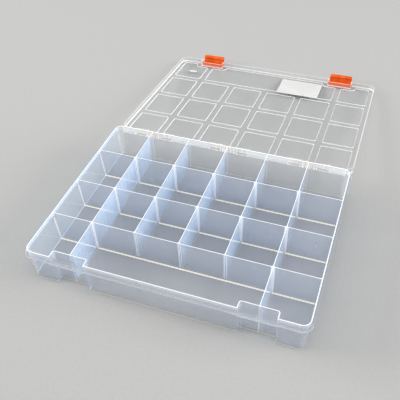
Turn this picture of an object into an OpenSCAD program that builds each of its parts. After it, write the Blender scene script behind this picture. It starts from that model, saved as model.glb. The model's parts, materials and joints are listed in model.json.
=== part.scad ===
// Parts sorting tray: clear tray with fixed dividers, clear hinged lid, two plastic latches.
// Origin: centre of the face the tray stands on. +X right, +Y towards the hinges, +Z up.
// The lid and latches are written in the closed position and turned to the open rest pose.

/* [Compartments] */
// Spacing of the front-to-back dividers, centre to centre
col_pitch = 58; // [56:0.5:60]
// From the outermost divider's centre to the inside of the side wall
edge_col = 55.8; // [52:0.1:60]
// Rear row, from the rear wall to the first cross wall's centre
row_1 = 60.6; // [58:0.1:70]
// Second row, between cross wall centres
row_2 = 66.6; // [58:0.1:70]
// Third row, between cross wall centres
row_3 = 65.8; // [58:0.1:70]
// Front row, from the last cross wall's centre to the inside of the front wall
row_4 = 66.2; // [62:0.1:70]
// Thickness of every divider and cross wall
divider_t = 1.3; // [1:0.1:2]
// Fillet in the corners of each compartment
cell_fillet = 2; // [1:0.1:3]
// Size of the slope where dividers and cross walls meet the floor
base_slope = 1.4; // [0.8:0.1:1.5]

/* [Tray] */
// Height of the tray from the table to its rim
tray_h = 49.5; // [46:0.5:56]
// Thickness of the outer wall
wall_t = 1.5; // [1.2:0.1:2]
// Thickness of the floor
floor_t = 1.6; // [1.2:0.1:2.4]
// Height of the foot rim under the floor
foot_h = 0.9; // [0.5:0.1:1.5]
// Width of the foot rim
foot_w = 3; // [2:0.5:5]
// How much smaller the tray is at the table than at the rim, on each side
draft = 2.9; // [0.5:0.1:4]
// Corner radius of the rim, seen from above
corner_r = 10; // [7:0.5:14]
// How far the flange stands out from the wall
flange_out = 2.6; // [2:0.1:3]
// Thickness of the flange
flange_t = 2.2; // [1.5:0.1:2.5]
// Height of the rim above the flange
rim_h = 7.2; // [6:0.1:8]

/* [Latch recesses] */
// Clear width of each recess in the front wall
recess_w = 44; // [43:0.5:50]
// How far the recess wall stands back from the front wall
recess_d = 10; // [9.5:0.1:11]
// Height of the catch bar's front face
catch_h = 4.8; // [4.6:0.1:6]
// Thickness of the catch shelf behind the bar
shelf_t = 2; // [1.2:0.1:2.2]

/* [Lid] */
// Thickness of the lid's plate
lid_t = 1.7; // [1.2:0.1:2]
// Gap between the closed lid and the dividers
lid_gap = 0.3; // [0.2:0.1:0.6]
// Thickness of the lid's skirt
skirt_t = 1.4; // [1:0.1:1.6]
// Width of the raised rib around each panel
rib_w = 1.1; // [0.8:0.1:1.6]
// Height of the raised rib around each panel
rib_h = 1.2; // [0.6:0.1:1.8]
// From a divider's centre to the rib beside it
rib_inset = 4.4; // [3.5:0.1:5]
// Angle the lid is open at rest, 0 is closed
lid_open = 185.8; // [0:0.1:185.8]

/* [Hinges] */
// Distance of the hinge axis behind the inside of the rear wall
axis_back = 8.8; // [8.6:0.1:9.4]
// Distance of the hinge axis below the rim
axis_drop = 9; // [8.8:0.1:9.4]
// Radius of the hinge pin
hinge_pin_r = 2; // [1.6:0.05:2]
// Radius of the hinge bracket around the pin
bracket_r = 3.6; // [3.2:0.1:3.6]
// Length of each of a hinge's two brackets
bracket_len = 16.6; // [12:0.2:16.6]
// Length of the lid's clip on the pin
clip_len = 16; // [12:0.2:18]
// End to end length of one hinge
hinge_len = 57.6; // [56:0.2:60]

/* [Latches] */
// Width of a latch
latch_w = 37; // [34:0.5:37]
// Thickness of a latch's plates
latch_t = 1.8; // [1.4:0.1:1.8]
// Radius of the barrel between the ears
barrel_r = 2.3; // [2:0.1:2.3]
// Radius of the pivot pins
latch_pin_r = 1.25; // [1:0.05:1.3]
// Thickness of the lid's ears beside a latch
ear_t = 1.6; // [1.2:0.1:1.6]
// Angle the latches are open at rest, 0 is latched
latch_open = 14; // [12:1:90]

/* [Stickers] */
// Width of the paper label
label_w = 70; // [50:1:80]
// Depth of the paper label
label_d = 50; // [30:1:52]
// Width of the oval sticker
oval_w = 14; // [8:0.5:20]
// Depth of the oval sticker
oval_d = 8; // [5:0.5:12]
// Thickness of both stickers
paper_t = 0.15; // [0.1:0.05:0.3]

/* [Hidden] */
$fn = 48;

clear_plastic = [0.82, 0.86, 0.9, 0.4];
latch_orange = [0.95, 0.36, 0.08];
paper_white = [0.86, 0.86, 0.84];

// Clearances
pin_gap = 0.08;
skirt_gap = 0.4;
part_gap = 0.3;
hook_gap = 0.4;

// How far a cut runs past what it cuts, and how deep joined shapes run into each other
cut = 1;
merge = 0.6;
bite = 0.1;

// Tray layout
in_w = 2 * (2 * col_pitch + edge_col);
in_d = row_1 + row_2 + row_3 + row_4;
tray_w = in_w + 2 * wall_t;
tray_d = in_d + 2 * wall_t;
y_rear = in_d / 2;
y_front = -in_d / 2;
divider_x = [for (i = [-2:2]) i * col_pitch];
cross_y = [y_rear - row_1, y_rear - row_1 - row_2, y_rear - row_1 - row_2 - row_3];
column_x = concat([-in_w / 2], divider_x, [in_w / 2]);
row_y = concat([y_rear], cross_y, [y_front]);
floor_z = foot_h + floor_t;
flange_top = tray_h - rim_h;
flange_w = tray_w + 2 * flange_out;
flange_d = tray_d + 2 * flange_out;

// Recesses, centred on the outermost dividers
recess_x = [divider_x[0], divider_x[4]];
recess_y = y_front + recess_d - divider_t;
recess_r = 2;
recess_reach = 5;

// Lid, in the closed position
lid_z = tray_h + lid_gap;
lid_w = flange_w - 2 * part_gap;
lid_d = flange_d - 2 * part_gap;
lid_r = corner_r + flange_out - part_gap;
skirt_in_w = tray_w + 2 * skirt_gap;
skirt_in_d = tray_d + 2 * skirt_gap;
skirt_in_r = corner_r + skirt_gap;
skirt_z = flange_top + part_gap;
skirt_h = lid_z - skirt_z;
panel_r = 3;

// Hinges, centred on dividers 1, 3 and 5
hinge_x = [divider_x[0], divider_x[2], divider_x[4]];
hinge_y = y_rear + axis_back;
hinge_z = tray_h - axis_drop;

// Latch pivot, in the closed position
pivot_y = y_front + 1.2;
pivot_z = tray_h - 2.6;
ear_in = latch_w / 2 + part_gap;
ear_out = ear_in + ear_t;
front_in = 6.1;
ear_rear = recess_y - 0.35;
ear_front = pivot_y - 1;
ear_low = flange_top - 1.6;
catch_y = -flange_d / 2;
catch_rear = y_front - 0.1;
catch_low = flange_top - catch_h;

// A rectangle with round corners, centred
module round_rect(w, d, r) {
    square([w - 2 * r, d], center = true);
    square([w, d - 2 * r], center = true);
    for (sx = [-1, 1], sy = [-1, 1])
        translate([sx * (w / 2 - r), sy * (d / 2 - r)])
            circle(r);
}

// A round-cornered rectangle between two corners
module round_cell(x0, x1, y0, y1, r) {
    translate([(x0 + x1) / 2, (y0 + y1) / 2])
        round_rect(x1 - x0, y1 - y0, r);
}

// A round-cornered box that is smaller at the bottom by d_in on each side
module drafted_box(w, d, h, r, d_in) {
    rotate([90, 0, 0])
        linear_extrude(d - 2 * r, center = true)
            polygon([[-w / 2 + d_in, 0], [w / 2 - d_in, 0], [w / 2, h], [-w / 2, h]]);
    rotate([90, 0, 90])
        linear_extrude(w - 2 * r, center = true)
            polygon([[-d / 2 + d_in, 0], [d / 2 - d_in, 0], [d / 2, h], [-d / 2, h]]);
    for (sx = [-1, 1], sy = [-1, 1])
        translate([sx * (w / 2 - r), sy * (d / 2 - r), 0])
            cylinder(h = h, r1 = r - d_in, r2 = r);
}

// The plan of one recess, grown by g on every side
module recess_plan(x, g) {
    depth = 2 * (recess_y - y_front + wall_t + recess_reach);
    translate([x, recess_y - depth / 2])
        round_rect(recess_w + 2 * g, depth + 2 * g, recess_r + g);
}

// Runs a profile drawn in (y, z) along x, from x0 to x1
module along_x(x0, x1) {
    translate([x0, 0, 0])
        rotate([90, 0, 90])
            linear_extrude(x1 - x0)
                children();
}

// Every compartment as [left, right, front, rear] between divider centres
cells = concat(
    [for (r = [0:2], c = [0:5]) [column_x[c], column_x[c + 1], row_y[r + 1], row_y[r]]],
    [[column_x[0], column_x[1], row_y[4], row_y[3]],
     [column_x[1], column_x[5], row_y[4], row_y[3]],
     [column_x[5], column_x[6], row_y[4], row_y[3]]]
);

// Moves an edge in by half a divider, or out past the wall where it is an outer edge
past_wall = 12;
function is_outer(v, limit) = abs(v) > limit - divider_t;
function inner_edge(v, limit, way) = v + way * (is_outer(v, limit) ? -past_wall : divider_t / 2);

module divider_plan() {
    difference() {
        square([tray_w, tray_d], center = true);
        for (c = cells)
            round_cell(inner_edge(c[0], in_w / 2, 1), inner_edge(c[1], in_w / 2, -1),
                inner_edge(c[2], in_d / 2, 1), inner_edge(c[3], in_d / 2, -1), cell_fillet);
    }
}

module tray_shell() {
    wall_draft = draft * (tray_h - floor_z) / tray_h;
    open_top = 0.001;
    difference() {
        drafted_box(tray_w, tray_d, tray_h, corner_r, draft);
        difference() {
            translate([0, 0, floor_z])
                drafted_box(in_w, in_d, tray_h - floor_z + open_top, corner_r - wall_t, wall_draft);
            for (x = recess_x)
                linear_extrude(tray_h + cut)
                    recess_plan(x, divider_t);
        }
    }
}

module dividers() {
    sink = 0.4;
    intersection() {
        translate([0, 0, floor_z - sink])
            linear_extrude(tray_h - floor_z + sink)
                divider_plan();
        drafted_box(tray_w - wall_t, tray_d - wall_t, tray_h, corner_r - wall_t / 2, draft);
    }
}

// Both slopes at the foot of a wall, drawn across the wall
module slope_profile() {
    half = divider_t / 2;
    wide = half + base_slope;
    polygon([[-wide, floor_z - bite], [wide, floor_z - bite], [wide, floor_z], [half, floor_z + base_slope],
        [-half, floor_z + base_slope], [-wide, floor_z]]);
}

// Slopes along every cross wall and divider, ending inside the outer walls
module base_slopes() {
    inside_wall = 1;
    end_x = in_w / 2 - draft + inside_wall;
    end_y = in_d / 2 - draft + inside_wall;
    for (y = cross_y)
        translate([0, y, 0])
            along_x(-end_x, end_x)
                slope_profile();
    for (i = [0:4])
        let (front = i == 0 || i == 4 ? recess_y + divider_t / 2 : cross_y[2])
            translate([divider_x[i], end_y, 0])
                rotate([90, 0, 0])
                    linear_extrude(end_y - front)
                        slope_profile();
}

module flange() {
    translate([0, 0, flange_top - flange_t])
        linear_extrude(flange_t)
            difference() {
                round_rect(flange_w, flange_d, corner_r + flange_out);
                round_rect(in_w + merge, in_d + merge, corner_r - wall_t + merge / 2);
            }
}

// Shelf across a recess, with the bar the latch hooks under
module catch_shelf(x) {
    chamfer = 1;
    along_x(x - recess_w / 2 - merge, x + recess_w / 2 + merge) {
        polygon([[catch_y, catch_low + chamfer], [catch_y + chamfer, catch_low], [catch_rear, catch_low],
            [catch_rear, flange_top], [catch_y, flange_top]]);
        translate([catch_y + chamfer, catch_low])
            square([recess_y + merge - catch_y - chamfer, shelf_t]);
    }
}

// Two brackets and the pin between them
module hinge_bracket(x) {
    arm_top = flange_top - hinge_z;
    reach = axis_back - wall_t + merge;
    for (side = [-1, 1])
        translate([0, hinge_y, hinge_z])
            along_x(x + side * (hinge_len - bracket_len) / 2 - bracket_len / 2,
                x + side * (hinge_len - bracket_len) / 2 + bracket_len / 2) {
                circle(bracket_r);
                translate([-reach, -bracket_r])
                    square([reach, bracket_r + arm_top]);
            }
    translate([x - hinge_len / 2, hinge_y, hinge_z])
        rotate([0, 90, 0])
            cylinder(h = hinge_len, r = hinge_pin_r);
}

// Small round marks where the plastic entered the mould
module gate_marks() {
    gate_x = 1.5 * col_pitch;
    gate_y = (cross_y[1] + cross_y[2]) / 2 - 3;
    gate_r = 1.6;
    gate_t = 0.5;
    for (side = [-1, 1])
        translate([side * gate_x, gate_y, floor_z - bite])
            cylinder(h = gate_t, r = gate_r);
}

// The hollow under the floor, inside the foot rim
module foot_hollow() {
    inset = draft + foot_w;
    translate([0, 0, -cut])
        linear_extrude(foot_h + cut)
            difference() {
                round_rect(tray_w - 2 * inset, tray_d - 2 * inset, corner_r - inset + cut);
                for (x = recess_x)
                    recess_plan(x, foot_w);
            }
}

module base_tray() {
    color(clear_plastic) {
        difference() {
            union() {
                tray_shell();
                dividers();
                base_slopes();
                flange();
            }
            for (x = recess_x)
                translate([0, 0, -cut])
                    linear_extrude(tray_h + 2 * cut)
                        recess_plan(x, 0);
            foot_hollow();
        }
        for (x = recess_x)
            catch_shelf(x);
        for (x = hinge_x)
            hinge_bracket(x);
        gate_marks();
    }
}

// The plan of one lid panel, shrunk by g
module panel_plan(c, g) {
    inset = rib_inset + g;
    difference() {
        round_cell(c[0] + inset, c[1] - inset, c[2] + inset, c[3] - inset, panel_r - g);
        for (x = recess_x)
            recess_plan(x, divider_t + inset);
    }
}

module lid_ribs() {
    translate([0, 0, lid_z - rib_h])
        linear_extrude(rib_h + bite)
            for (c = cells)
                difference() {
                    panel_plan(c, 0);
                    panel_plan(c, rib_w);
                }
}

module lid_skirt() {
    translate([0, 0, skirt_z])
        linear_extrude(skirt_h + bite)
            difference() {
                round_rect(skirt_in_w + 2 * skirt_t, skirt_in_d + 2 * skirt_t, skirt_in_r + skirt_t);
                round_rect(skirt_in_w, skirt_in_d, skirt_in_r);
            }
}

// Web across a recess and the two ears that hold a latch's pins
module latch_seat(x) {
    front = -skirt_in_d / 2 - skirt_t;
    translate([x - ear_out, ear_rear - skirt_t, skirt_z])
        cube([2 * ear_out, skirt_t, skirt_h + bite]);
    for (side = [-1, 1])
        along_x(x + side * (ear_in + ear_t / 2) - ear_t / 2, x + side * (ear_in + ear_t / 2) + ear_t / 2)
            difference() {
                union() {
                    translate([front, skirt_z])
                        square([ear_rear - front, skirt_h + bite]);
                    translate([ear_front, ear_low])
                        square([ear_rear - ear_front, skirt_h]);
                }
                translate([pivot_y, pivot_z])
                    circle(latch_pin_r + pin_gap);
            }
}

// Open clip that snaps on the hinge pin, with its arm
module hinge_clip(x) {
    clip_r = bracket_r + 0.1;
    arm_in = 1;
    arm_low = skirt_z - hinge_z;
    arm_t = 3.1;
    reach = axis_back - wall_t - skirt_gap - merge;
    mouth = 1.7 * hinge_pin_r;
    translate([0, hinge_y, hinge_z])
        along_x(x - clip_len / 2, x + clip_len / 2)
            difference() {
                union() {
                    circle(clip_r);
                    translate([-reach, arm_low])
                        square([reach + arm_in, arm_t]);
                }
                circle(hinge_pin_r + pin_gap);
                translate([-mouth / 2, -2 * clip_r])
                    square([mouth, 2 * clip_r]);
            }
}

module lid_closed() {
    difference() {
        union() {
            translate([0, 0, lid_z])
                linear_extrude(lid_t)
                    round_rect(lid_w, lid_d, lid_r);
            lid_skirt();
            lid_ribs();
        }
        for (x = recess_x)
            translate([x - ear_in, -lid_d, skirt_z - cut])
                cube([2 * ear_in, lid_d + ear_rear - skirt_t, skirt_h + lid_t + 2 * cut]);
    }
    for (x = recess_x)
        latch_seat(x);
    for (x = hinge_x)
        hinge_clip(x);
}

// Latch profile in (y, z) about its pivot: barrel, top plate, front plate, hook and finger tab
module latch_profile() {
    plate_low = lid_z + lid_t - latch_t - pivot_z;
    plate_rear = 2.2;
    post_w = 3.2;
    front_out = front_in + latch_t;
    hook_low = pivot_z - catch_low + hook_gap;
    hook_in = 3.5;
    hook_t = 1;
    tab_out = 10;
    tab_low = 13.4;
    tab_bevel = 0.5;
    circle(barrel_r);
    translate([-post_w / 2, 0])
        square([post_w, plate_low + bite]);
    translate([-front_in, plate_low])
        square([front_in + plate_rear, latch_t]);
    translate([-front_in, plate_low])
        circle(latch_t);
    translate([-front_out, -hook_low])
        square([latch_t, hook_low + plate_low]);
    polygon([[-hook_in, -hook_low], [-front_out, -hook_low], [-tab_out, -tab_low + 2 * tab_bevel],
        [-tab_out + tab_bevel, -tab_low], [-tab_out + 3 * tab_bevel, -tab_low],
        [-hook_in - 2 * bite, -hook_low - hook_t]]);
}

// Web in the corner between the top plate and the front plate
module latch_gusset() {
    top = lid_z + lid_t - latch_t - pivot_z + bite;
    gusset_in = 2.6;
    gusset_low = 3.4;
    polygon([[-front_in - bite, top], [-gusset_in, top], [-front_in - bite, -gusset_low]]);
}

// One latch about its pivot, its corners rounded by a plan drawn from the front
module latch() {
    gusset_t = 1.5;
    corner = 2.5;
    outline_h = 38.8;
    outline_mid = 6;
    deep = 60;
    intersection() {
        union() {
            along_x(-latch_w / 2, latch_w / 2)
                latch_profile();
            for (x0 = [-latch_w / 2, latch_w / 2 - gusset_t])
                along_x(x0, x0 + gusset_t)
                    latch_gusset();
        }
        translate([0, 0, outline_mid])
            rotate([90, 0, 0])
                linear_extrude(deep, center = true)
                    round_rect(latch_w, outline_h, corner);
    }
    translate([-ear_out, 0, 0])
        rotate([0, 90, 0])
            cylinder(h = 2 * ear_out, r = latch_pin_r);
}

// Turns what is drawn on the closed lid to the open rest pose
module on_lid() {
    translate([0, hinge_y, hinge_z])
        rotate([-lid_open, 0, 0])
            translate([0, -hinge_y, -hinge_z])
                children();
}

module latch_on_lid(x) {
    color(latch_orange)
        on_lid()
            translate([x, pivot_y, pivot_z])
                rotate([-latch_open, 0, 0])
                    latch();
}

module lid() {
    color(clear_plastic)
        on_lid()
            lid_closed();
}

module latch_left() {
    latch_on_lid(recess_x[0]);
}

module latch_right() {
    latch_on_lid(recess_x[1]);
}

// Label on the lid's top face, in the right half of the long front panel
module paper_label() {
    label_x = 52.5;
    label_y = (cross_y[2] + y_front) / 2 - 1;
    label_r = 1;
    color(paper_white)
        on_lid()
            translate([label_x, label_y, lid_z + lid_t])
                linear_extrude(paper_t)
                    round_rect(label_w, label_d, label_r);
}

// Small oval sticker in the middle of the front left panel
module oval_sticker() {
    oval_x = (column_x[0] + column_x[1]) / 2;
    oval_y = (cross_y[2] + y_front) / 2 - 2;
    sides = 48;
    color(paper_white)
        on_lid()
            translate([oval_x, oval_y, lid_z + lid_t])
                linear_extrude(paper_t)
                    polygon([for (i = [1:sides])
                        [oval_w / 2 * cos(i * 360 / sides), oval_d / 2 * sin(i * 360 / sides)]]);
}

base_tray();
lid();
latch_left();
latch_right();
paper_label();
oval_sticker();
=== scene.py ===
"""Looks of the parts sorting tray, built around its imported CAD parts."""
import json
import math

import bpy
from mathutils import Matrix, Vector


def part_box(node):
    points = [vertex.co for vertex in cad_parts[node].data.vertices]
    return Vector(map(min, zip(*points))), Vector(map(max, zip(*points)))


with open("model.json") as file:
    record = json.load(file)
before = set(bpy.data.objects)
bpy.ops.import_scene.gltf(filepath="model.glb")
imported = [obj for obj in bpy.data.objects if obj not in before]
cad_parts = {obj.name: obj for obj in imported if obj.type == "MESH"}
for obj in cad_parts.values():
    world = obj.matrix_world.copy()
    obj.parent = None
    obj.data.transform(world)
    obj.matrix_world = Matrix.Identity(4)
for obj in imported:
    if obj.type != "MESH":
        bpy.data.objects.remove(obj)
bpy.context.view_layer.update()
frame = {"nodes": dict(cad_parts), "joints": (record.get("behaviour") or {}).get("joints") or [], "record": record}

MM = 0.001
COLUMN_WIDTH_MAX = 0.1  # metres; a wider opening spans several columns or rows
PLASTIC_IOR = 1.49
HAZE_MAX = 0.95
SHINE_MAX = 0.8

# Ranges over which a part of the normal fades in: square to an axis, lying level, and slanted
SQUARE = (0.85, 0.98)
LEVEL = (0.8, 0.95)
SLANTED = (0.4, 0.6)
# The same for the product of its x and y parts, which is high only where a corner is rounded
ROUNDED = (0.06, 0.3)

# Where the tray's features are, in millimetres: in from its sides or ends, or down from its rim
SIDE_SHELL, END_SHELL = 7, 15.7
SIDE_FLANGE, END_FLANGE = 2.7, 2.9
CATCH_REACH = 14
RIM_DEPTH, SHELF_DEPTH, FLANGE_DEPTH = 7, 12.4, 13.5
# Up from the table
FOOT_TOP, BASE_TOP = 4, 2.5
# Half the width of the line where a divider meets the outer wall
JOIN_REACH = 0.9

# The strip of rim, flange and hinge brackets along the rear wall, in millimetres
STRIP_FRONT = 130
STRIP_REAR = (134.2, 134.6)
STRIP_DEPTH = 12
STRIP_END = 9
HINGE_REACH = 28.8
HINGE_ENDS = (8, 12.2, HINGE_REACH)
TICK_REACH = 0.7

# Down from the tray's rim with the lid closed: where only its skirt is, and where only the skirt's end is
SKIRT_DEPTH, SKIRT_END_DEPTH = 1.15, 6


class Look:
    """One material, with short ways to add nodes to it.

    Its x, y and z are the place on the object in millimetres. Its nx, ny and nz are the parts of the
    surface's normal, with the first two as sizes only.
    """

    def __init__(self, name):
        self.material = bpy.data.materials.new(name)
        self.material.use_nodes = True
        self.nodes = self.material.node_tree.nodes
        self.links = self.material.node_tree.links
        self.nodes.clear()
        coords = self.add("TexCoord")
        self.place, self.facing = coords.outputs["Object"], coords.outputs["Normal"]
        self.x, self.y, self.z = self.split(self.place, 1 / MM)
        nx, ny, self.nz = self.split(self.facing)
        self.nx, self.ny = self.size(nx), self.size(ny)

    def put(self, socket, value):
        if isinstance(value, bpy.types.NodeSocket):
            self.links.new(value, socket)
        else:
            socket.default_value = value

    def add(self, kind, settings=None, **inputs):
        node = self.nodes.new("ShaderNode" + kind)
        for key, value in (settings or {}).items():
            setattr(node, key, value)
        for key, value in inputs.items():
            self.put(node.inputs[key.replace("_", " ")], value)
        return node

    def split(self, vector, scale=1.0):
        scaled = self.add("VectorMath", {"operation": "SCALE"}, Vector=vector, Scale=scale)
        return self.add("SeparateXYZ", Vector=scaled.outputs[0]).outputs

    def math(self, operation, *values, clamp=False):
        node = self.nodes.new("ShaderNodeMath")
        node.operation = operation
        node.use_clamp = clamp
        for socket, value in zip(node.inputs, values):
            self.put(socket, value)
        return node.outputs[0]

    def size(self, value):
        return self.math("ABSOLUTE", value)

    def without(self, mask, other=1.0):
        return self.math("SUBTRACT", other, mask, clamp=True)

    def either(self, *masks):
        result = masks[0]
        for mask in masks[1:]:
            result = self.math("MAXIMUM", result, mask)
        return result

    def total(self, *values):
        result = values[0]
        for value in values[1:]:
            result = self.math("ADD", result, value)
        return result

    def product(self, *values):
        result = values[0]
        for value in values[1:]:
            result = self.math("MULTIPLY", result, value)
        return result

    def layers(self, *layers):
        """The sum of some layers, each an amount times its masks."""
        return self.total(*[self.product(*layer) for layer in layers])

    def ramp(self, value, low, high, start=0.0, end=1.0):
        node = self.add("MapRange", {"interpolation_type": "SMOOTHSTEP"})
        for key, item in (("Value", value), ("From Min", low), ("From Max", high),
                          ("To Min", start), ("To Max", end)):
            self.put(node.inputs[key], item)
        return node.outputs["Result"]

    def above(self, value, edge, soft=0.4):
        return self.ramp(value, edge - soft / 2, edge + soft / 2)

    def below(self, value, edge, soft=0.4):
        return self.ramp(value, edge - soft / 2, edge + soft / 2, 1.0, 0.0)

    def near(self, value, places, reach):
        """1 within reach of any of these places along a line, 0 elsewhere."""
        gaps = [self.size(self.math("SUBTRACT", value, place)) for place in places]
        nearest = gaps[0]
        for gap in gaps[1:]:
            nearest = self.math("MINIMUM", nearest, gap)
        return self.below(nearest, reach, 0.4 * reach)

    def mix(self, share, first, second):
        node = self.add("Mix", {"data_type": "RGBA"})
        self.put(node.inputs[0], share)
        self.put(node.inputs[6], first)
        self.put(node.inputs[7], second)
        return node.outputs[2]

    def paint(self, colour, *coats):
        """A colour with coats over it, each a mask and a colour."""
        for mask, coat in coats:
            colour = self.mix(mask, colour, coat)
        return colour

    def noise(self, scale, detail=2.0, stretch=(1, 1, 1), turn=0.0, roughness=0.5):
        mapping = self.add("Mapping", Vector=self.place)
        mapping.inputs["Scale"].default_value = stretch
        mapping.inputs["Rotation"].default_value = (0, 0, turn)
        node = self.add("TexNoise", Vector=mapping.outputs[0], Scale=scale, Detail=detail,
                        Roughness=roughness)
        return node.outputs[0]

    def bump(self, height, strength, distance):
        node = self.add("Bump", Height=height, Strength=strength, Distance=distance)
        return node.outputs[0]

    def blend(self, share, first, second):
        node = self.nodes.new("ShaderNodeMixShader")
        self.put(node.inputs[0], share)
        self.links.new(first, node.inputs[1])
        self.links.new(second, node.inputs[2])
        return node.outputs[0]

    def join(self, first, second):
        node = self.nodes.new("ShaderNodeAddShader")
        self.links.new(first, node.inputs[0])
        self.links.new(second, node.inputs[1])
        return node.outputs[0]

    def show(self, shader):
        out = self.nodes.new("ShaderNodeOutputMaterial")
        self.links.new(shader, out.inputs["Surface"])
        return self.material


def rgb(red, green, blue):
    return (red, green, blue, 1.0)


def see_through(look, haze, colour, passes, glow=0.0, gloss=1.0):
    """Clear moulded plastic.

    Most light goes straight on, a share is scattered as haze, and faces shine at low angles. The glow is a painted
    glow: an emission that stands in for the light clear plastic carries inside it and lets out at edges and
    corners.
    """
    grain = look.noise(scale=900, detail=3.0)
    waves = look.noise(scale=45, detail=1.0)
    normal = look.bump(look.layers((0.1, grain), (1.0, waves)), strength=0.08, distance=0.3 * MM)
    clear = look.add("BsdfTransparent", Color=passes).outputs[0]
    front = look.add("BsdfDiffuse", Color=colour, Roughness=0.6, Normal=normal).outputs[0]
    behind = look.add("BsdfTranslucent", Color=colour, Normal=normal).outputs[0]
    # Painted glow: an emission, though the plastic is no lamp, so that edges and lines shine
    painted_glow_shader = look.add("Emission", Color=colour, Strength=glow).outputs[0]
    haze_and_painted_glow = look.join(look.blend(0.5, front, behind), painted_glow_shader)
    body = look.blend(look.math("MINIMUM", haze, HAZE_MAX), clear, haze_and_painted_glow)
    polish = look.ramp(grain, 0.3, 0.7, 0.07, 0.14)
    shine = look.add("BsdfGlossy", Color=rgb(1, 1, 1), Roughness=polish, Normal=normal).outputs[0]
    fresnel = look.add("Fresnel", IOR=PLASTIC_IOR, Normal=normal).outputs[0]
    outward = look.without(look.add("NewGeometry").outputs["Backfacing"])
    share = look.product(fresnel, outward, gloss)
    return look.show(look.blend(look.math("MINIMUM", share, SHINE_MAX), body, shine))


def wall_places(axis):
    """Where the dividers stand along an axis, in millimetres: halfway between the compartments' boxes."""
    boxes = [opening["box_m"] for opening in frame["record"]["physics"]["openings"]]
    spans = sorted({(round(low[axis], 4), round(high[axis], 4)) for low, high in boxes})
    spans = [(start, end) for start, end in spans if end - start < COLUMN_WIDTH_MAX]
    return [(end + start) / 2 / MM for (_, end), (start, _) in zip(spans, spans[1:]) if start > end]


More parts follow.
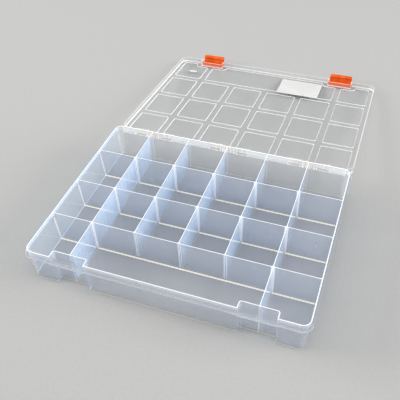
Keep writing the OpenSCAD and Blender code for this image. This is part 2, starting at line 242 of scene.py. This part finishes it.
def tray_plastic():
    """The tray's plastic. Masks find each wall, edge and line by its place and facing; many lines are painted
    highlights with painted glow.
    """
    look = Look("tray_clear_plastic")
    low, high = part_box("base_tray")
    rim_z, side_x, front_y = high.z / MM, high.x / MM, -low.y / MM
    away_x, away_y = look.size(look.x), look.size(look.y)

    across, along = look.ramp(look.nx, *SQUARE), look.ramp(look.ny, *SQUARE)
    upward, level = look.ramp(look.nz, *LEVEL), look.ramp(look.size(look.nz), *LEVEL)
    upright = look.either(across, along)
    fillet = look.ramp(look.product(look.nx, look.ny), *ROUNDED)

    shell = look.either(
        look.above(away_x, side_x - SIDE_SHELL, soft=2),
        look.above(away_y, front_y - END_SHELL, soft=2),
    )
    inside = look.without(shell)
    # The tops of the walls and rim: a painted highlight, white and hazy, with painted glow
    top = look.product(upward, look.above(look.z, rim_z - 0.6, soft=0.6))
    rim = look.product(shell, look.above(look.z, rim_z - RIM_DEPTH))
    flange = look.either(look.above(away_x, side_x - SIDE_FLANGE), look.above(away_y, front_y - END_FLANGE))
    flange = look.product(flange, look.above(look.z, rim_z - FLANGE_DEPTH, soft=2))
    shelf = look.product(
        look.below(look.y, CATCH_REACH - front_y, soft=1),
        look.above(look.z, rim_z - SHELF_DEPTH, soft=0.6),
        look.below(look.z, rim_z - RIM_DEPTH),
    )

    # Painted highlight lines at the foot of the walls, and on the slopes where the dividers meet the floor
    foot_line = look.below(look.z, FOOT_TOP, soft=0.6)
    base_line = look.below(look.z, BASE_TOP, soft=1)
    not_level = look.ramp(look.nz, *LEVEL, 1.0, 0.0)
    slope = look.product(foot_line, inside, look.ramp(look.nz, *SLANTED), not_level)
    cross_slope_painted_highlight = look.product(slope, look.ramp(look.ny, *SLANTED))
    side_slope = look.product(slope, look.ramp(look.nx, *SLANTED))

    # Painted highlight lines on the outer wall where dividers meet it: on the front wall, only the first and last
    # columns do
    columns, rows = wall_places(0), wall_places(1)
    end_columns = look.near(look.x, (columns[0], columns[-1]), JOIN_REACH)
    rear_columns = look.product(look.above(look.y, 0.5, soft=1), look.near(look.x, columns, JOIN_REACH))
    joins_x = look.either(end_columns, rear_columns)
    joins_y = look.near(look.y, rows, JOIN_REACH)
    joins = look.product(shell, look.either(look.product(along, joins_x), look.product(across, joins_y)))

    # The strip along the rear wall, with a painted highlight tick at each end of a hinge bracket or clip
    hinge_columns = columns[::2]
    hinge_ends = [x + side * end for x in hinge_columns for side in (-1, 1) for end in HINGE_ENDS]
    strip = look.product(
        look.above(look.y, STRIP_FRONT, soft=0.3),
        look.above(look.z, rim_z - STRIP_DEPTH, soft=0.8),
        look.ramp(look.y, *STRIP_REAR, 1.0, 0.3),
        look.below(away_x, side_x - STRIP_END, soft=2),
    )
    hinged = look.near(look.x, hinge_columns, HINGE_REACH)
    painted_tick_highlights = look.product(strip, look.either(across, look.near(look.x, hinge_ends, TICK_REACH)))
    ribbed = look.ramp(look.noise(1.0, 2.0, stretch=(420, 1, 1)), 0.35, 0.65, 0.8, 1.1)
    hinges = look.product(
        strip,
        look.ramp(hinged, 0.0, 1.0, 0.75, 1.0),
        look.ramp(hinged, 0.0, 1.0, 1.0, ribbed),
    )
    # Painted glow along the strip, stronger on the hinge ribs
    rib_painted_glow = look.ramp(ribbed, 0.8, 1.1, 0.12, 0.32)
    strip_painted_glow = look.product(strip, look.ramp(hinged, 0.0, 1.0, 0.2, rib_painted_glow))

    clouds = look.ramp(look.noise(scale=22), 0.3, 0.7, 0.85, 1.15)
    streaks = look.ramp(look.noise(1.0, 2.0, stretch=(120, 120, 6)), 0.35, 0.75, 0.95, 1.15)
    # Faces square to x get more haze than faces square to y: partly painted light, brightening the sides that face
    # the lamps
    walls = look.product(look.layers((0.30, across), (0.20, along)), clouds, streaks)
    # Painted highlights among these layers: the fillets, the tops, the foot and base lines, the slopes, the
    # flange's upright faces, the ticks and the joins; the rest is the plastic's haze
    haze = look.layers(
        (0.015,),
        (walls, look.ramp(shell, 0.0, 1.0, 1.0, 0.3)),
        (0.6, fillet, inside),
        (0.12, fillet, shell),
        (0.75, top),
        (0.3, along, foot_line, inside),
        (0.75, cross_slope_painted_highlight),
        (0.08, side_slope),
        (0.3, base_line),
        (0.55, flange, upright),
        (0.1, flange),
        (0.1, rim),
        (0.12, shelf),
        (0.7, hinges),
        (0.45, painted_tick_highlights),
        (0.55, joins),
    )
    blue = look.product(across, look.ramp(shell, 0.0, 1.0, 1.0, 0.8))
    # Painted highlight colours: white on the tops, fillets and joins, warm on the slopes and foot lines
    colour = look.paint(
        rgb(0.90, 0.91, 0.95),
        (look.product(along, inside), rgb(0.88, 0.90, 0.95)),
        (blue, rgb(0.71, 0.84, 1.0)),
        (look.either(fillet, joins), rgb(0.97, 0.97, 1.0)),
        (look.either(cross_slope_painted_highlight, look.product(foot_line, along)), rgb(1.0, 0.94, 0.80)),
        (look.without(painted_tick_highlights, strip), look.mix(hinged, rgb(0.97, 0.96, 0.93), rgb(0.92, 0.86, 0.77))),
        (top, rgb(1, 1, 1)),
    )
    # Level faces let less light through than upright ones: painted shade that darkens the floor seen inside the
    # tray
    passes = look.paint(
        rgb(0.965, 0.975, 0.985),
        (across, rgb(0.935, 0.957, 0.98)),
        (level, rgb(0.92, 0.93, 0.942)),
    )
    # Painted glow, though nothing here is a lamp: on the slopes, the inner fillets, the tops and the rear strip
    glow = look.layers((0.45, cross_slope_painted_highlight), (0.12, fillet, inside), (0.15, top), (1.0, strip_painted_glow))
    return see_through(look, haze, colour, passes, glow)


def lid_plastic():
    """The lid's plastic. The coordinates are turned back to the closed lid's place, where it lies level."""
    look = Look("lid_clear_plastic")
    hinge = next(j for j in frame["joints"] if j["name"] == "lid_hinge")
    axis, opened = Vector(hinge["pos_m"]), math.radians(hinge["range_deg"][1])
    place = look.add("Mapping", {"vector_type": "POINT"}, Vector=look.place)
    place.inputs["Rotation"].default_value = (opened, 0, 0)
    place.inputs["Location"].default_value = axis - Matrix.Rotation(opened, 3, "X") @ axis
    height = look.split(place.outputs[0], 1 / MM)[2]
    facing = look.add("Mapping", {"vector_type": "NORMAL"}, Vector=look.facing)
    facing.inputs["Rotation"].default_value = (opened, 0, 0)
    level = look.ramp(look.size(look.split(facing.outputs[0])[2]), 0.6, 0.9)

    rim_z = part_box("base_tray")[1].z / MM
    skirt = look.below(height, rim_z - SKIRT_DEPTH, soft=0.3)
    rib = look.product(look.below(height, rim_z, soft=0.3), look.without(skirt))
    upright = look.product(look.without(level), look.ramp(skirt, 0.0, 1.0, 1.0, 0.12))
    clouds = look.ramp(look.noise(scale=22), 0.3, 0.7, 0.7, 1.3)
    skirt_end = look.product(level, look.below(height, rim_z - SKIRT_END_DEPTH, soft=0.3))
    haze = look.layers((0.008, clouds), (0.45, upright), (0.3, level, rib), (0.5, skirt_end))
    # Painted glow on the upright faces and the skirt's end, so that the lid's ribs and edges shine as bright lines
    glow = look.layers((0.25, upright), (0.25, skirt_end))
    return see_through(look, haze, rgb(0.97, 0.97, 0.97), rgb(0.982, 0.986, 0.99), glow, gloss=0.7)


def edge_plastic(name, haze):
    """Rounded edges of clear plastic, painted as thin bright lines: a painted highlight with painted glow,
    standing in for the light that edges gather.
    """
    look = Look(name)
    # The painted highlight, patchy along the edges
    painted_edge_highlight = look.ramp(look.noise(scale=180), 0.3, 0.7, haze * 0.85, haze * 1.1)
    return see_through(look, painted_edge_highlight, rgb(1, 1, 1), rgb(0.97, 0.98, 0.985), glow=0.3)


def latch_plastic(name, painted_edge_highlight):
    """Orange moulded plastic that lets some light through. Its edges can carry a painted highlight, a paler
    orange.
    """
    look = Look(name)
    clouds = look.noise(scale=140, detail=3.0)
    grain = look.noise(scale=1500)
    # A painted highlight on the edges: paler orange, as strong as asked for
    colour = look.paint(
        rgb(0.85, 0.115, 0.004),
        (look.ramp(clouds, 0.3, 0.7), rgb(1.0, 0.19, 0.012)),
        (painted_edge_highlight, rgb(1.0, 0.36, 0.12)),
    )
    normal = look.bump(look.layers((1.0, grain), (0.5, clouds)), strength=0.15, distance=0.15 * MM)
    polish = look.ramp(grain, 0.3, 0.7, 0.26, 0.42)
    solid = look.add("BsdfPrincipled", Base_Color=colour, Roughness=polish, Normal=normal,
                     Coat_Weight=0.15).outputs[0]
    through = look.add("BsdfTranslucent", Color=colour, Normal=normal).outputs[0]
    return look.show(look.blend(0.28, solid, through))


def ruled_lines(look, pitch=8, half_length=29.2):
    """A mask of plain ruled lines, in millimetres, on the side of the label that faces out of the lid."""
    low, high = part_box("paper_label")
    middle = (low.x + high.x) / 2 / MM
    step = look.math("FRACT", look.layers((1 / pitch, look.y), (-low.y / MM / pitch,)))
    line = look.product(look.above(step, 0.455, soft=0.03), look.below(step, 0.515, soft=0.03))
    outer_side = look.ramp(look.nz, -0.5, -0.8)
    return look.product(line, outer_side, look.near(look.x, [middle], half_length))


def paper(name, tone, ruled):
    """Paper with fibres and a faint mottle, and with ruled lines if asked for."""
    look = Look(name)
    fibres = look.noise(scale=700, detail=4.0, stretch=(1, 3, 1), turn=0.6, roughness=0.7)
    mottle = look.noise(scale=60)
    between_fibres, mottled = [rgb(*[part * share for part in tone]) for share in (0.86, 0.92)]
    colour = look.paint(
        between_fibres,
        (look.ramp(fibres, 0.3, 0.7), rgb(*tone)),
        (look.ramp(mottle, 0.35, 0.7, 0.0, 0.35), mottled),
    )
    if ruled:
        colour = look.mix(ruled_lines(look), colour, rgb(0.16, 0.18, 0.22))
    normal = look.bump(fibres, strength=0.35, distance=0.1 * MM)
    matt = look.ramp(fibres, 0.2, 0.8, 0.7, 0.9)
    page = look.add("BsdfPrincipled", Base_Color=colour, Roughness=matt, Normal=normal).outputs[0]
    through = look.add("BsdfTranslucent", Color=colour, Normal=normal).outputs[0]
    return look.show(look.blend(0.2, page, through))


def dress(node, face, edge, width, sharp_deg=35):
    """Gives a CAD node its material, and rounds its edges a little with a material of their own."""
    part = frame["nodes"][node]
    part.data.materials.clear()
    part.data.materials.append(face)
    part.data.materials.append(edge)
    weld = part.modifiers.new("weld", "WELD")
    weld.merge_threshold = 1e-6
    bevel = part.modifiers.new("round", "BEVEL")
    bevel.width = width * MM
    bevel.segments = 2
    bevel.limit_method = "ANGLE"
    bevel.angle_limit = math.radians(sharp_deg)
    bevel.use_clamp_overlap = True
    bevel.harden_normals = True
    bevel.material = 1


def dress_parts():
    """Every CAD node with its own material. Widths are in millimetres."""
    dress("base_tray", tray_plastic(), edge_plastic("tray_edges", haze=0.8), width=0.3)
    dress("lid", lid_plastic(), edge_plastic("lid_edges", haze=0.7), width=0.25)
    # The latches' edges get a painted highlight
    orange, painted_highlight_orange = latch_plastic("latch_orange", painted_edge_highlight=0.0), latch_plastic("latch_edges", painted_edge_highlight=0.6)
    for node in ("latch_left", "latch_right"):
        dress(node, orange, painted_highlight_orange, width=0.3)
    label = paper("label_paper", tone=(0.93, 0.92, 0.89), ruled=True)
    oval = paper("sticker_paper", tone=(0.95, 0.95, 0.93), ruled=False)
    dress("paper_label", label, label, width=0.03, sharp_deg=60)
    dress("oval_sticker", oval, oval, width=0.03, sharp_deg=60)


def stage_floor():
    """A plain matt floor, painted paler far out as painted light, so that it meets the backdrop without a dark
    band.
    """
    gap_below = 0.2 * MM
    bpy.ops.mesh.primitive_plane_add(size=30, location=(0, 0, -gap_below))
    floor = bpy.context.object
    floor.name = "floor"
    look = Look("pale_floor")
    grain = look.noise(scale=240, detail=3.0)
    away = look.add("VectorMath", {"operation": "LENGTH"}, Vector=look.place).outputs["Value"]
    # Painted light: the floor grows paler with distance, where the lamps light it less
    colour = look.paint(
        rgb(0.455, 0.45, 0.438),
        (look.ramp(grain, 0.2, 0.8), rgb(0.475, 0.47, 0.458)),
        (look.ramp(away, 3.4, 6.5), rgb(0.95, 0.94, 0.92)),
    )
    normal = look.bump(grain, strength=0.08, distance=0.2 * MM)
    matt = look.add("BsdfDiffuse", Color=colour, Roughness=0.5, Normal=normal).outputs[0]
    floor.data.materials.append(look.show(matt))


def soft_light(name, place, size, power):
    """A large soft lamp aimed at the middle of the open tray and lid."""
    data = bpy.data.lights.new(name, "AREA")
    data.shape = "RECTANGLE"
    data.size, data.size_y = size
    data.energy = power
    data.spread = math.radians(150)
    lamp = bpy.data.objects.new(name, data)
    lamp.location = place
    middle = Vector((0, 0.1, 0))
    lamp.rotation_euler = (middle - Vector(place)).to_track_quat("-Z", "Y").to_euler()
    bpy.context.scene.collection.objects.link(lamp)


def backdrop():
    """Even light from all round, which the camera sees a little brighter, as a lit studio wall."""
    world = bpy.data.worlds.new("studio")
    world.use_nodes = True
    nodes, links = world.node_tree.nodes, world.node_tree.links
    seen = nodes.new("ShaderNodeLightPath").outputs["Is Camera Ray"]
    strength = nodes.new("ShaderNodeMapRange")
    strength.inputs["To Min"].default_value = 0.40
    strength.inputs["To Max"].default_value = 0.52
    links.new(seen, strength.inputs["Value"])
    background = nodes["Background"]
    background.inputs["Color"].default_value = rgb(0.95, 0.97, 1.0)
    links.new(strength.outputs["Result"], background.inputs["Strength"])
    bpy.context.scene.world = world


def studio():
    """Backdrop, lamps and the settings that clear plastic needs: many see-through layers and no caustics."""
    backdrop()
    soft_light("left", place=(-3.4, -0.3, 1.3), size=(2.4, 1.7), power=112)
    soft_light("right", place=(3.4, 0.6, 1.4), size=(2.4, 1.7), power=90)
    soft_light("top", place=(0.1, -0.3, 1.9), size=(1.2, 1.2), power=9)
    scene = bpy.context.scene
    scene.view_settings.view_transform = "Standard"
    scene.cycles.use_denoising = True
    scene.cycles.filter_width = 1.2  # pixels
    scene.cycles.max_bounces = 10
    scene.cycles.transparent_max_bounces = 64
    scene.cycles.caustics_reflective = False
    scene.cycles.caustics_refractive = False


def camera():
    """Stands where the photographer stood: turned, raised and tipped a little, aimed at the table."""
    turn, rise, tip = math.radians(21.57), math.radians(43.77), math.radians(-2.71)
    aim = Vector((-19.8 * MM, 63.0 * MM, 0))
    distance = 0.8157
    out = math.cos(rise)
    back = Vector((math.sin(turn) * out, -math.cos(turn) * out, math.sin(rise)))
    data = bpy.data.cameras.new("camera")
    data.lens = 52.1
    data.sensor_width = 36
    eye = bpy.data.objects.new("camera", data)
    turned = (-back).to_track_quat("-Z", "Y").to_matrix() @ Matrix.Rotation(tip, 3, "Z")
    eye.matrix_world = Matrix.Translation(aim + back * distance) @ turned.to_4x4()
    bpy.context.scene.collection.objects.link(eye)
    bpy.context.scene.camera = eye


dress_parts()
stage_floor()
studio()
camera()
